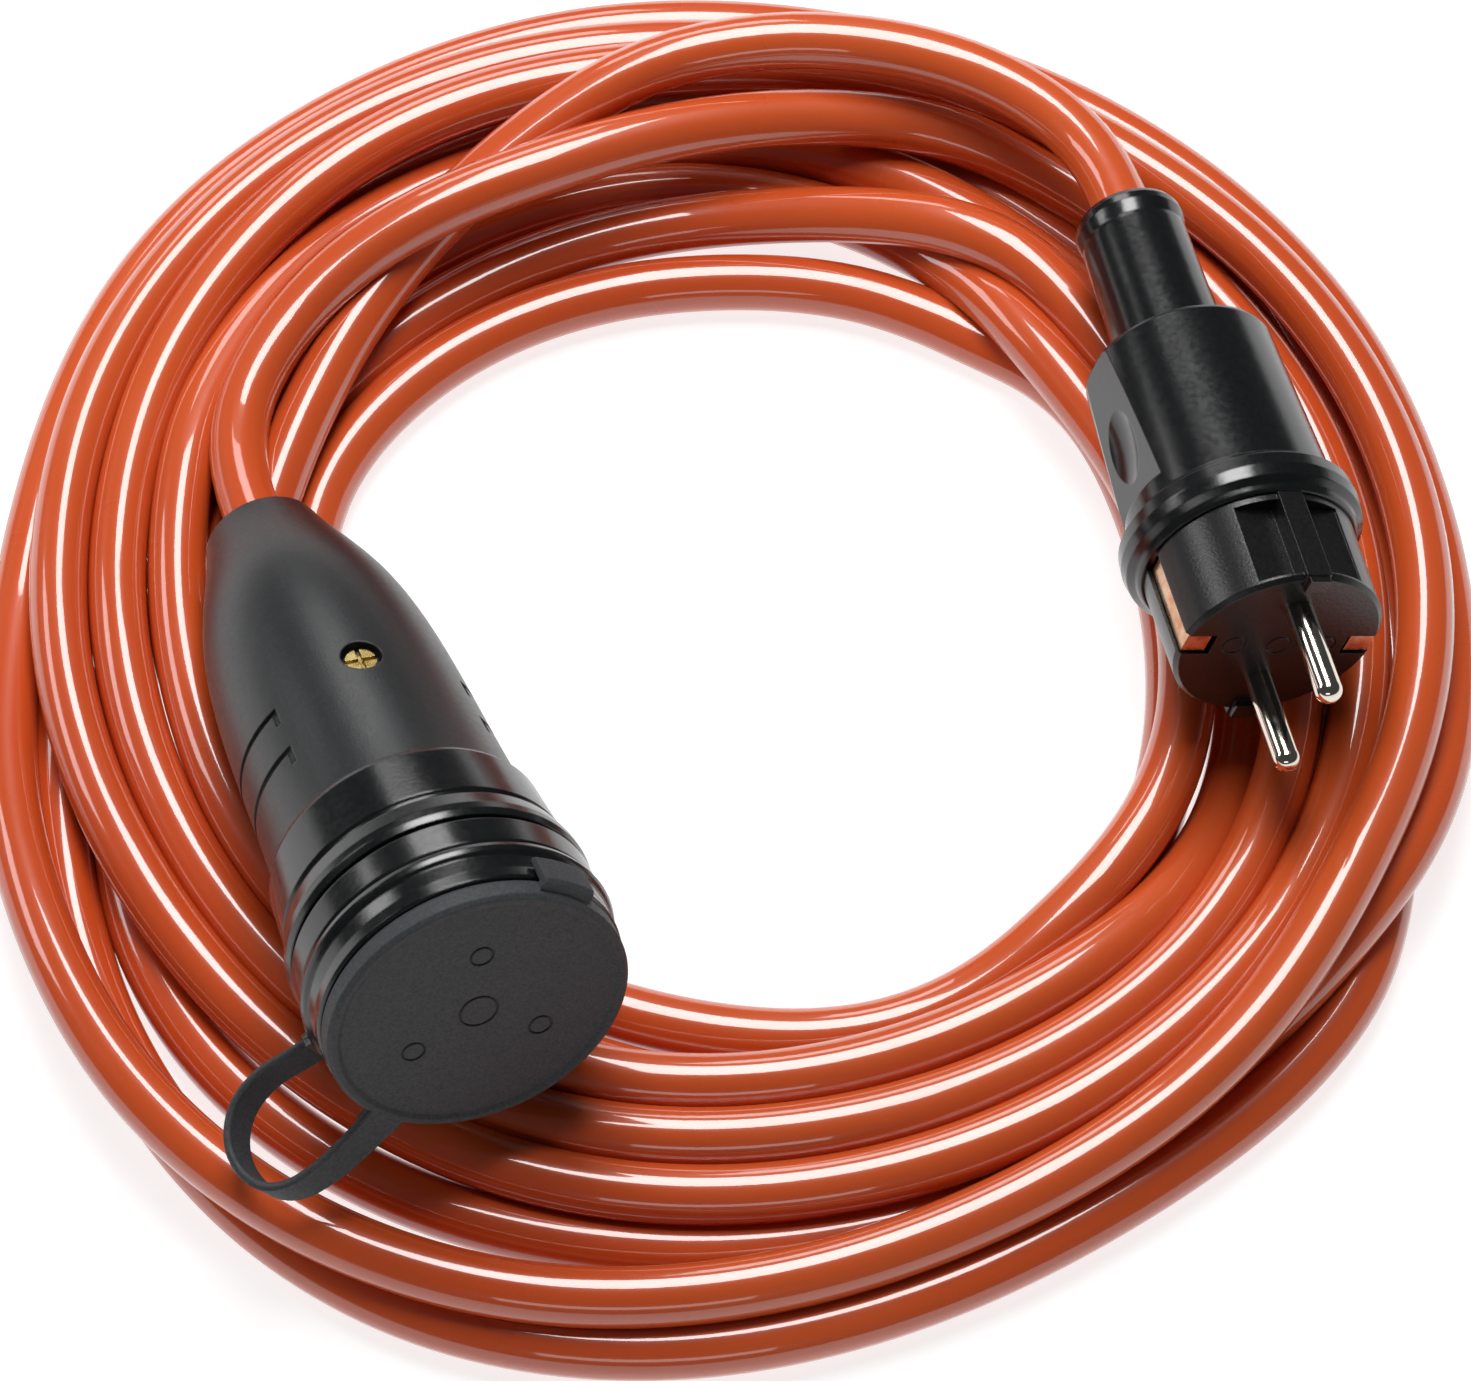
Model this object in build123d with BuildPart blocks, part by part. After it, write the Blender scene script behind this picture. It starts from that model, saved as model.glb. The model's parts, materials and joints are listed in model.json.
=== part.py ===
"""Coiled three-core extension cord: earthed plug at one end, capped trailing socket at the other.

The coil lies flat on the floor. +Z is up, and the origin is on the floor at the middle of the whole
object. Both fittings lie on the coil, so each is drawn in a plane of its own, whose Z axis runs along
the fitting towards its nose. Lengths are millimetres.
"""

import os
from math import cos, radians, sin, tan

from build123d import *

os.makedirs("parts", exist_ok=True)

# ---- Cable --------------------------------------------------------------------------------------
CORD_D = 10.4  # sheath of a heavy three-core cable
CORD_R = CORD_D / 2
CORE_R = 1.4  # one insulated core
CORE_PITCH = 1.9  # from the cable's axis to a core's axis

# ---- Coil, as the outer shape of all its turns ----------------------------------------------------
COIL_OUTER = (129.0, 137.0)  # half width along X and Y
COIL_INNER = (77.0, 73.0)
COIL_HEIGHT = 25.0
COIL_TOP_OUTER_ROUND = 13.0
COIL_TOP_INNER_ROUND = 9.0
COIL_BOTTOM_ROUND = 4.0
OPEN_CAP = (-61.0, -131.0, 42.6)  # middle of the cap when it hangs open
LIE_GAP = 0.8  # hollow left in the coil around a fitting that lies on it

# ---- Plug -------------------------------------------------------------------------------------------
PIN_R = 2.4
PIN_LENGTH = 19.0
PIN_OFFSET = 9.5  # half of the 19 mm pin spacing
INSERT_R = 18.4  # part that enters a socket
INSERT_LENGTH = 18.0
FLANGE_R = 21.4
HOOD_FRONT_R = 18.6
HOOD_BACK_R = 17.0
HOOD_BACK = -61.8  # where the hood's back wall ends, along the plug's axis
HOOD_FLAT = 16.3  # from the axis to each grip flat
CAVITY_R = 13.2
BOOT_ROOT_R = 10.2
BOOT_R = 9.5  # near the mouth
BOOT_MOUTH = -95.5

# ---- Coupling ---------------------------------------------------------------------------------------
COUPLING_LENGTH = 119.5
COLLAR_BACK = -38.5
TAIL_R = 10.4
LIP_R = 23.0  # rim that the cap seals on
WELL_R = 19.4
WELL_FLOOR = -20.0
INSERT_BACK = -36.0
CAP_R = 25.6
CAP_SKIRT = 3.6  # depth of the cap, face to skirt edge
CAP_CLEARANCE = 0.35
FLANK_ROLL = 167.0  # middle of one grip, round the axis from the plane's X
SCREW_ROLL = 80.0  # direction of the fixing screw round the axis, from the plane's X

FIT = 0.05  # gap between two pieces that are fixed together


def lying_plane(nose, heading, tilt, roll):
    """Plane at a fitting's nose: Z along the fitting, X rolled round Z from the level direction.

    heading turns the nose from -Y towards +X, tilt lifts it, all in degrees."""
    turn, lift, spin = radians(heading), radians(tilt), radians(roll)
    along = Vector(sin(turn) * cos(lift), -cos(turn) * cos(lift), sin(lift))
    level = Vector(cos(turn), sin(turn), 0)
    across = level * cos(spin) + along.cross(level) * sin(spin)
    return Plane(origin=nose, x_dir=across, z_dir=along)


# X runs from pin to pin and Y from earth contact to earth contact.
PLUG = lying_plane((91.9, -20.5, 44.0), heading=13.5, tilt=5, roll=71)
COUPLING = lying_plane((-41.2, -95.8, 55.0), heading=21, tilt=15, roll=0)


def point(base, x, y, z):
    """The row-frame point at x, y, z of a base plane."""
    return base.from_local_coords(Vector(x, y, z))


def turned(base, outline, mode=Mode.ADD, angle=360):
    """Revolves an outline of (z, radius) points about the base plane's Z axis."""
    lengthwise = Plane(origin=base.origin, x_dir=base.z_dir, z_dir=base.y_dir)
    with BuildSketch(lengthwise, mode=Mode.PRIVATE) as section:
        with BuildLine():
            Polyline(*outline, close=True)
        make_face()
    revolve(section.sketch, axis=Axis(base.origin, base.z_dir), revolution_arc=angle, mode=mode)


def tube(base, back, front, outer, inner=0.0, mode=Mode.ADD):
    """A cylinder, or a tube, on the base plane's Z axis."""
    with BuildSketch(base.offset(back), mode=Mode.PRIVATE) as ring:
        Circle(outer)
        if inner:
            Circle(inner, mode=Mode.SUBTRACT)
    extrude(ring.sketch, amount=front - back, mode=mode)


def rod(base, x, y, back, front, radius, mode=Mode.ADD):
    """A cylinder parallel to the base plane's Z axis at x, y."""
    with BuildSketch(base.offset(back), mode=Mode.PRIVATE) as disc:
        with Locations((x, y)):
            Circle(radius)
    extrude(disc.sketch, amount=front - back, mode=mode)


def bar(base, x_range, y_range, z_range, mode=Mode.ADD):
    """A box between the given limits of the base plane's X, Y and Z."""
    with BuildSketch(base.offset(z_range[0]), mode=Mode.PRIVATE) as end:
        with Locations(((x_range[0] + x_range[1]) / 2, (y_range[0] + y_range[1]) / 2)):
            Rectangle(x_range[1] - x_range[0], y_range[1] - y_range[0])
    extrude(end.sketch, amount=z_range[1] - z_range[0], mode=mode)


def side_plane(base, direction, z, radius):
    """Plane that looks out of a fitting's side: direction in degrees round the axis, from X."""
    angle = radians(direction)
    outward = base.x_dir * cos(angle) + base.y_dir * sin(angle)
    centre = base.origin + base.z_dir * z + outward * radius
    return Plane(origin=centre, x_dir=base.z_dir, z_dir=outward)


def bend_radii(points):
    """The largest even arc at each corner: 0.45 of its shorter run over the tangent of half the turn."""
    route = [Vector(*p) for p in points]
    radii = []
    for before, corner, after in zip(route, route[1:], route[2:]):
        run_in, run_out = corner - before, after - corner
        half_turn = radians(run_in.get_angle(run_out)) / 2
        radii.append(0.45 * min(run_in.length, run_out.length) / tan(half_turn))
    return radii


def run_tube(points, radius):
    """A round tube along straight runs joined by tangent arcs."""
    route = [Vector(*p) for p in points]
    with BuildLine(mode=Mode.PRIVATE) as path:
        FilletPolyline(*route, radius=bend_radii(points))
    with BuildSketch(Plane(origin=route[0], z_dir=route[1] - route[0]), mode=Mode.PRIVATE) as section:
        Circle(radius)
    sweep(section.sketch, path=path.wires()[0])
    return path.wires()[0].length


def keep(builder, name):
    """Labels a finished piece and writes it."""
    builder.part.label = name
    export_step(builder.part, f"parts/{name}.step")


# ---- Cord: the coil and the two leads that come off it ---------------------------------------------
PLUG_PROFILE = [
    (BOOT_MOUTH, 0), (BOOT_MOUTH, 9.9), (HOOD_BACK, 10.6), (HOOD_BACK, HOOD_BACK_R),
    (-28, HOOD_FRONT_R), (-27, FLANGE_R), (-18, FLANGE_R), (-17, INSERT_R + 0.7), (1.5, INSERT_R), (1.5, 0),
]
COUPLING_PROFILE = [
    (-COUPLING_LENGTH, 0), (-COUPLING_LENGTH, TAIL_R), (-108, 14.4), (-95, 18.4), (-80, 20.6), (-60, 21.9),
    (-38.5, 24.4), (-20, 27), (-10, 27.2), (0, CAP_R), (0, 0),
]


def grown(profile, gap):
    """A (z, radius) outline made larger all round."""
    back, front = profile[0][0], profile[-1][0]
    wider = [(z, r + gap) for z, r in profile[1:-1]]
    return [(back - gap, 0), (back - gap, wider[0][1]), *wider, (front + gap, wider[-1][1]), (front + gap, 0)]


with BuildPart() as cord_coil:
    with BuildSketch() as outline:
        Ellipse(*COIL_OUTER)
        Ellipse(*COIL_INNER, mode=Mode.SUBTRACT)
    extrude(amount=COIL_HEIGHT)
    inner_top, outer_top = cord_coil.faces().sort_by(Axis.Z)[-1].edges().sort_by(SortBy.LENGTH)
    fillet(outer_top, COIL_TOP_OUTER_ROUND)
    inner_top = cord_coil.faces().sort_by(Axis.Z)[-1].edges().sort_by(SortBy.LENGTH)[0]
    fillet(inner_top, COIL_TOP_INNER_ROUND)
    fillet(cord_coil.faces().sort_by(Axis.Z)[0].edges(), COIL_BOTTOM_ROUND)
    turned(PLUG, grown(PLUG_PROFILE, LIE_GAP), Mode.SUBTRACT)
    turned(COUPLING, grown(COUPLING_PROFILE, LIE_GAP), Mode.SUBTRACT)
    # Room at the edge of the coil for the cap when it hangs open.
    with Locations(OPEN_CAP):
        Sphere(29.5, mode=Mode.SUBTRACT)
keep(cord_coil, "cord_coil")

# Each lead leaves its fitting along the fitting's axis, arches over the turns and ends inside the coil.
PLUG_LEAD = [
    tuple(point(PLUG, 0, 0, BOOT_MOUTH)),
    tuple(point(PLUG, 0, 0, BOOT_MOUTH - 14)),
    (57.0, 98.2, 34.0),
    (43.0, 108.5, 33.6),
    (24.0, 114.0, 33.0),
    (2.0, 115.8, 32.3),
    (-21.0, 110.5, 29.5),
    (-42.5, 99.0, 22.5),
    (-61.0, 83.0, 15.5),
    (-73.6, 63.6, 11.0),
]
COUPLING_LEAD = [
    tuple(point(COUPLING, 0, 0, -COUPLING_LENGTH)),
    tuple(point(COUPLING, 0, 0, -COUPLING_LENGTH - 15)),
    (-88.8, 42.5, 18.0),
    (-81.5, 60.0, 20.5),
    (-67.0, 75.0, 25.3),
    (-47.0, 86.5, 29.0),
    (-22.0, 97.0, 27.5),
    (6.0, 105.5, 22.5),
    (34.0, 108.0, 16.5),
    (57.0, 99.5, 11.0),
]
for lead_name, lead_route in (("plug_lead", PLUG_LEAD), ("coupling_lead", COUPLING_LEAD)):
    with BuildPart() as lead:
        lead_length = run_tube(lead_route, CORD_R)
    keep(lead, lead_name)
    radii_text = ", ".join(f"{r:.0f}" for r in bend_radii(lead_route))
    ideal = lead_length * 3.14159265 * CORD_R**2
    print(f"{lead_name}: {lead_length:.1f} mm, radii {radii_text}, volume ratio {lead.part.volume / ideal:.4f}")

# ---- Plug: front insulator ---------------------------------------------------------------------------
STRIP_HALF = 2.1  # half width of the earth strip
STRIP_OUT = 17.6  # outer face of the strip where it lies in its groove
STRIP_T = 0.9
SHANK_R = 2.0  # the pin inside the insulator
with BuildPart() as plug_insert:
    turned(PLUG, [(-24, 0), (-24, 15.9), (-INSERT_LENGTH, 15.9), (-INSERT_LENGTH, INSERT_R + 0.2),
                  (-0.8, INSERT_R), (0, INSERT_R - 0.8), (0, 0)])
    tube(PLUG, -24, -14, CAVITY_R, mode=Mode.SUBTRACT)
    for side in (-1, 1):
        # Hole for the pin's shank, which is narrower than the pin.
        rod(PLUG, side * PIN_OFFSET, 0, -15, 0.5, SHANK_R + FIT, Mode.SUBTRACT)
        # Earth groove along the side, its notch in the face and its way in at the back.
        groove_x = (-STRIP_HALF - 0.3, STRIP_HALF + 0.3)
        for depth, z_range in ((STRIP_OUT - STRIP_T - 0.3, (-18.5, 1)), (12.4, (-2.4, 1)), (9.0, (-25, -16.5))):
            limits = sorted((side * depth, side * 22))
            bar(PLUG, groove_x, limits, z_range, Mode.SUBTRACT)
        # Two moulded pockets beside each guide rib, in line with the pins.
        for pocket in (-1, 1):
            pocket_y = sorted((pocket * 2.3, pocket * 9.6))
            limits = sorted((side * 15.4, side * 22))
            bar(PLUG, limits, pocket_y, (-16.8, -1.3), Mode.SUBTRACT)
        rib_x = sorted((side * 15.0, side * (INSERT_R + 0.7)))
        bar(PLUG, rib_x, (-2.3, 2.3), (-INSERT_LENGTH, 0.0))
        nub_x = sorted((side * 15.6, side * (INSERT_R + 0.4)))
        bar(PLUG, nub_x, (-1.9, 1.9), (0.0, 1.2))
    # Faint round marks that the mould leaves in the face.
    for mark_x, mark_y in ((0, 0), (0, 8.4), (0, -8.4)):
        with BuildSketch(PLUG.offset(-0.25), mode=Mode.PRIVATE) as mark:
            with Locations((mark_x, mark_y)):
                Circle(2.3)
                Circle(1.9, mode=Mode.SUBTRACT)
        extrude(mark.sketch, amount=1, mode=Mode.SUBTRACT)
keep(plug_insert, "plug_insert")

# ---- Plug: pins, earth bracket and terminals -----------------------------------------------------------
SHOULDER_R = 3.3
PIN_BACK = -22.0
for side, pin_name in ((1, "plug_pin_line"), (-1, "plug_pin_neutral")):
    pin_axis = Plane(origin=point(PLUG, side * PIN_OFFSET, 0, 0), x_dir=PLUG.x_dir, z_dir=PLUG.z_dir)
    with BuildPart() as pin:
        tube(pin_axis, FIT, PIN_LENGTH, PIN_R)
        fillet(pin.faces().sort_by(Axis(pin_axis.origin, pin_axis.z_dir))[-1].edges(), 2.1)
        tube(pin_axis, -14.0, FIT, SHANK_R)
        tube(pin_axis, PIN_BACK, -14.0, SHOULDER_R)
        # Cross hole for the terminal screw and a blind hole for the core.
        with BuildSketch(side_plane(pin_axis, 90, -18.5, 0), mode=Mode.PRIVATE) as cross_hole:
            Circle(1.5)
        extrude(cross_hole.sketch, amount=4, mode=Mode.SUBTRACT)
    keep(pin, pin_name)

with BuildPart() as plug_earth_bracket:
    # One bent strip: a finger at each notch of the face, down both grooves and across behind the pins.
    strip_plane = Plane(origin=point(PLUG, -STRIP_HALF, 0, 0), x_dir=PLUG.y_dir, z_dir=PLUG.x_dir)
    with BuildSketch(strip_plane):
        with BuildLine():
            # Outer face down one side, then the inner face back up, and the same mirrored.
            outside = [(13.2, -0.5), (STRIP_OUT, -0.5), (STRIP_OUT, -17.7), (15.2, -17.7), (15.2, -22.6)]
            inside = [(14.3, -21.7), (14.3, -16.8), (STRIP_OUT - STRIP_T, -16.8), (STRIP_OUT - STRIP_T, -1.4),
                      (13.2, -1.4)]
            mirrored_out = [(-y, z) for y, z in reversed(outside)]
            mirrored_in = [(-y, z) for y, z in reversed(inside)]
            Polyline(*outside, *mirrored_out, *mirrored_in, *inside, close=True)
        make_face()
    extrude(amount=2 * STRIP_HALF)
    rod(PLUG, 0, 0, -24, -20, 1.5, Mode.SUBTRACT)
keep(plug_earth_bracket, "plug_earth_bracket")


def cheese_head_screw(face, head_r, head_t, shank_r, shank_length, slot=True):
    """A screw whose head sits on a plane, head along its normal and shank behind it."""
    tube(face, 0, head_t, head_r)
    tube(face, -shank_length, 0, shank_r)
    if slot:
        bar(face, (-head_r, head_r), (-0.4, 0.4), (head_t - 0.8, head_t + 1), Mode.SUBTRACT)


with BuildPart() as plug_terminal_screws:
    for side in (-1, 1):
        terminal = Plane(origin=point(PLUG, side * PIN_OFFSET, 0, 0), x_dir=PLUG.x_dir, z_dir=PLUG.z_dir)
        cheese_head_screw(side_plane(terminal, 90, -18.5, 3.4), 2.4, 1.8, 1.45, 3.0)
    earth_seat = Plane(origin=point(PLUG, 0, 0, -22.65), x_dir=PLUG.x_dir, z_dir=-PLUG.z_dir)
    cheese_head_screw(earth_seat, 2.6, 1.8, 1.45, 2.4)
keep(plug_terminal_screws, "plug_terminal_screws")

# ---- Plug: hood and bend-relief boot ---------------------------------------------------------------------
with BuildPart() as plug_hood:
    turned(PLUG, [(HOOD_BACK, 10.6), (HOOD_BACK, HOOD_BACK_R - 1.0), (HOOD_BACK + 0.3, HOOD_BACK_R - 0.3),
                  (HOOD_BACK + 1.0, HOOD_BACK_R),
                  (-27.2, HOOD_FRONT_R), (-26, FLANGE_R - 1.2), (-25, FLANGE_R - 0.2), (-22.5, FLANGE_R),
                  (-20.4, FLANGE_R - 0.4), (-19.4, FLANGE_R - 1.6), (-18.6, FLANGE_R - 1.9),
                  (-18.1, FLANGE_R - 2.3), (-18.1, 15.95), (-24.05, 15.95), (-24.05, CAVITY_R),
                  (HOOD_BACK + 3, CAVITY_R), (HOOD_BACK + 3, 10.6)])
    for side in (-1, 1):
        limits = sorted((side * HOOD_FLAT, side * 24))
        bar(PLUG, (-13, 13), limits, (HOOD_BACK - 1, -30.5), Mode.SUBTRACT)
        # Shallow oval finger dimple: a barrel shape that dips 1 mm into the flat.
        barrel_axis = Plane(origin=point(PLUG, 0, side * (HOOD_FLAT + 11.0), 0), x_dir=PLUG.z_dir, z_dir=PLUG.y_dir)
        with BuildSketch(barrel_axis, mode=Mode.PRIVATE) as barrel:
            with BuildLine():
                ThreePointArc((-54, 9.7), (-43, 12.0), (-32, 9.7))
                Polyline((-32, 9.7), (-32, 0), (-54, 0), (-54, 9.7))
            make_face()
        revolve(barrel.sketch, axis=Axis(barrel_axis.origin, PLUG.z_dir), mode=Mode.SUBTRACT)
keep(plug_hood, "plug_hood")

with BuildPart() as plug_boot:
    turned(PLUG, [(-54.5, CORD_R + FIT), (-54.5, 12.6), (HOOD_BACK + 3.05, 12.6), (HOOD_BACK + 3.05, 10.55),
                  (HOOD_BACK - 0.3, 10.55), (HOOD_BACK - 1.0, BOOT_ROOT_R), (-76, 9.75), (-89.5, BOOT_R),
                  (-90.3, 9.45), (-91.3, 9.65), (-92.8, 9.9), (-94.2, 9.75), (-95.1, 9.3), (BOOT_MOUTH, 8.6),
                  (BOOT_MOUTH, CORD_R + FIT)])
keep(plug_boot, "plug_boot")

# ---- Plug: terminal carrier, cord clamp and the cable inside -----------------------------------------------
CLAMP_SCREW_X = 9.7


def carrier(base, back, front, half_width, clamp_z):
    """Insulating cradle under the cable, with a saddle and two screw posts at the clamp."""
    bar(base, (-half_width, half_width), (-8.6, -CORD_R - 0.1), (back, front))
    for side in (-1, 1):
        wall = sorted((side * (half_width - 1.6), side * half_width))
        bar(base, wall, (-CORD_R - 0.2, -2.0), (back, front))
        post = sorted((side * 7.4, side * 11.7))
        bar(base, post, (-CORD_R - 0.2, -1.0), (clamp_z - 3.5, clamp_z + 3.5))
        screw_hole = side_plane(base, 90, clamp_z, -1.0)
        with BuildSketch(screw_hole, mode=Mode.PRIVATE) as bore:
            with Locations((0, side * CLAMP_SCREW_X)):
                Circle(1.3)
        extrude(bore.sketch, amount=-6, mode=Mode.SUBTRACT)


def clamp(base, clamp_z):
    """Arched bridge that presses the cable into the cradle."""
    bar(base, (-11.7, 11.7), (-0.9, 1.5), (clamp_z - 3.2, clamp_z + 3.2))
    tube(base, clamp_z - 3.2, clamp_z + 3.2, CORD_R + 2.4)
    bar(base, (-12, 12), (-12, -0.9), (clamp_z - 5, clamp_z + 5), Mode.SUBTRACT)
    tube(base, clamp_z - 4, clamp_z + 4, CORD_R + FIT, mode=Mode.SUBTRACT)
    for side in (-1, 1):
        with BuildSketch(side_plane(base, 90, clamp_z, 3.0), mode=Mode.PRIVATE) as bore:
            with Locations((0, side * CLAMP_SCREW_X)):
                Circle(1.35)
        extrude(bore.sketch, amount=-6, mode=Mode.SUBTRACT)


def clamp_screws(base, clamp_z):
    """The two screws of a cord clamp."""
    for side in (-1, 1):
        on_axis = Plane(origin=point(base, side * CLAMP_SCREW_X, 0, 0), x_dir=base.x_dir, z_dir=base.z_dir)
        cheese_head_screw(side_plane(on_axis, 90, clamp_z, 1.55), 1.9, 1.6, 1.25, 6.5)


def core_wire(base, points):
    """One insulated core from the cable's end to its terminal."""
    run_tube([tuple(point(base, *p)) for p in points], CORE_R)


PLUG_CLAMP_Z = -48.0
with BuildPart() as plug_carrier:
    carrier(PLUG, -53.5, -27.0, 9.9, PLUG_CLAMP_Z)
keep(plug_carrier, "plug_carrier")

with BuildPart() as plug_cord_clamp:
    clamp(PLUG, PLUG_CLAMP_Z)
keep(plug_cord_clamp, "plug_cord_clamp")

with BuildPart() as plug_clamp_screws:
    clamp_screws(PLUG, PLUG_CLAMP_Z)
keep(plug_clamp_screws, "plug_clamp_screws")

with BuildPart() as plug_cord_end:
    tube(PLUG, BOOT_MOUTH, -43.0, CORD_R)
keep(plug_cord_end, "plug_cord_end")

PLUG_CORES = {
    "plug_core_brown": [(CORE_PITCH, 0, -43), (CORE_PITCH, 0, -38), (PIN_OFFSET, 0, -29), (PIN_OFFSET, 0, PIN_BACK)],
    "plug_core_blue": [(-CORE_PITCH, 0, -43), (-CORE_PITCH, 0, -38), (-PIN_OFFSET, 0, -29), (-PIN_OFFSET, 0, PIN_BACK)],
    "plug_core_earth": [(0, 3.2, -43), (0, 3.2, -39), (0, 5.0, -33), (0, 5.0, -22.65)],
}
for core_name, core_points in PLUG_CORES.items():
    with BuildPart() as core:
        core_wire(PLUG, core_points)
    keep(core, core_name)

# ---- Coupling: hood with its tail -----------------------------------------------------------------------------
HOOD_WALL = 2.3
HOOD_OUTER = [(-COUPLING_LENGTH, TAIL_R), (-114.0, 12.0), (-106.0, 14.8), (-97.0, 17.6), (-87.0, 19.5),
              (-76.0, 20.6), (-60.0, 21.4), (COLLAR_BACK - 0.2, 22.5)]
with BuildPart() as coupling_hood:
    lengthwise = Plane(origin=COUPLING.origin, x_dir=COUPLING.z_dir, z_dir=COUPLING.y_dir)
    with BuildSketch(lengthwise, mode=Mode.PRIVATE) as hood_section:
        with BuildLine():
            Spline(*HOOD_OUTER)
            Polyline(HOOD_OUTER[-1], (COLLAR_BACK - 0.2, 19.6), (-60, 18.9))
            Spline((-60, 18.9), (-76, 17.9), (-88, 16.4), (-98, 14.0), (-104, 11.5))
            Polyline((-104, 11.5), (-104, CORD_R + FIT), (-COUPLING_LENGTH, CORD_R + FIT), HOOD_OUTER[0])
        make_face()
    revolve(hood_section.sketch, axis=Axis(COUPLING.origin, COUPLING.z_dir))
    # Grip steps: two shallow grooves round each flank, each ending in a short run along the hood.
    for groove_z in (-62.5, -53.0):
        surface_r = 21.3 + (groove_z + 62) * 0.05
        for flank in (FLANK_ROLL, FLANK_ROLL - 180):
            with BuildPart(mode=Mode.PRIVATE) as groove:
                tube(COUPLING, groove_z - 0.6, groove_z + 0.6, 24.5, surface_r - 0.6)
                cutter = side_plane(COUPLING, flank, groove_z, 9.0)
                with BuildSketch(cutter, mode=Mode.PRIVATE) as window:
                    Rectangle(4, 26.8)
                extrude(window.sketch, amount=18, mode=Mode.INTERSECT)
            add(groove.part, mode=Mode.SUBTRACT)
            # Each end of the groove turns towards the nose.
            for way in (1, -1):
                ending = side_plane(COUPLING, flank + way * 39, groove_z + 1.3, surface_r - 0.5)
                with BuildSketch(ending, mode=Mode.PRIVATE) as short_run:
                    Rectangle(3.8, 1.1)
                extrude(short_run.sketch, amount=4, mode=Mode.SUBTRACT)
    # Screw recess and the clearance hole under it.
    recess = side_plane(COUPLING, SCREW_ROLL, -65.0, 18.7)
    with BuildSketch(recess, mode=Mode.PRIVATE) as pocket_circle:
        Circle(3.5)
    extrude(pocket_circle.sketch, amount=6, mode=Mode.SUBTRACT)
    with BuildSketch(recess, mode=Mode.PRIVATE) as hole_circle:
        Circle(1.6)
    extrude(hole_circle.sketch, amount=-4, mode=Mode.SUBTRACT)
keep(coupling_hood, "coupling_hood")

with BuildPart() as coupling_fixing_screw:
    screw_seat = recess.offset(0.03)
    cheese_head_screw(screw_seat, 2.7, 1.3, 1.45, 8.0)
    bar(screw_seat, (-0.4, 0.4), (-3, 3), (0.5, 3), Mode.SUBTRACT)
keep(coupling_fixing_screw, "coupling_fixing_screw")

# ---- Coupling: collar, socket insert and seal --------------------------------------------------------------------
RING_BACK, RING_FRONT = -18.6, -12.4  # recess that the tether ring sits in
with BuildPart() as coupling_collar:
    turned(COUPLING, [(COLLAR_BACK, 19.6), (COLLAR_BACK, 23.4), (COLLAR_BACK + 1.2, 24.0), (-27.0, 24.9),
                      (-26.4, 24.4), (-25.6, 24.4), (-25.2, 25.3), (-22.0, 26.2), (-20.4, 26.4),
                      (RING_BACK - 0.6, 26.0), (RING_BACK - 0.4, 24.6), (RING_FRONT + 0.4, 24.6),
                      (RING_FRONT + 0.6, 26.6), (-10.8, 26.9), (-10.0, 26.6), (-9.4, 26.0), (-6.8, 25.8),
                      (-4.6, 26.0), (-4.2, 25.6), (-4.2, LIP_R), (-2.0, LIP_R), (-2.0, 22.4),
                      (-34.0, 22.4), (-34.0, 19.6)])
    # Ways through the back lip for the earth bow.
    for side in (-1, 1):
        bar(COUPLING, (-2.6, 2.6), sorted((side * 19.0, side * 21.5)), (-39, -33), Mode.SUBTRACT)
keep(coupling_collar, "coupling_collar")

BOW_HALF = 2.0
BLOCK_R = WELL_R - 0.1
with BuildPart() as coupling_insert:
    # Cup that lines the collar: the wall of the well, with its two guide ribs.
    turned(COUPLING, [(-33.9, WELL_R), (-33.9, 22.35), (-2.0, 22.35), (-2.0, WELL_R + 0.8), (-2.8, WELL_R)])
    for side in (-1, 1):
        slot = sorted((side * (WELL_R - 2.2), side * (WELL_R + 1.9)))
        bar(COUPLING, (-BOW_HALF - 0.4, BOW_HALF + 0.4), slot, (INSERT_BACK - 1, -4.0), Mode.SUBTRACT)
        rib = sorted((side * (WELL_R - 1.4), side * (WELL_R + 0.5)))
        bar(COUPLING, rib, (-2.3, 2.3), (WELL_FLOOR + FIT, -3.0))
keep(coupling_insert, "coupling_insert")

with BuildPart() as coupling_contact_block:
    # Floor of the well, with a chamber for each contact.
    tube(COUPLING, INSERT_BACK, WELL_FLOOR, BLOCK_R)
    for side in (-1, 1):
        rod(COUPLING, side * PIN_OFFSET, 0, INSERT_BACK - 1, -22.5, 3.6, Mode.SUBTRACT)
        rod(COUPLING, side * PIN_OFFSET, 0, -23, WELL_FLOOR + 1, 2.9, Mode.SUBTRACT)
        slot = sorted((side * (WELL_R - 2.2), side * (WELL_R + 1.9)))
        bar(COUPLING, (-BOW_HALF - 0.4, BOW_HALF + 0.4), slot, (INSERT_BACK - 1, WELL_FLOOR + 1), Mode.SUBTRACT)
keep(coupling_contact_block, "coupling_contact_block")

with BuildPart() as coupling_seal_ring:
    # Rubber ring at the root of the lip, under the cap's skirt.
    tube(COUPLING, -4.15, -3.95, LIP_R + 2.2, LIP_R + FIT)
keep(coupling_seal_ring, "coupling_seal_ring")

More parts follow.
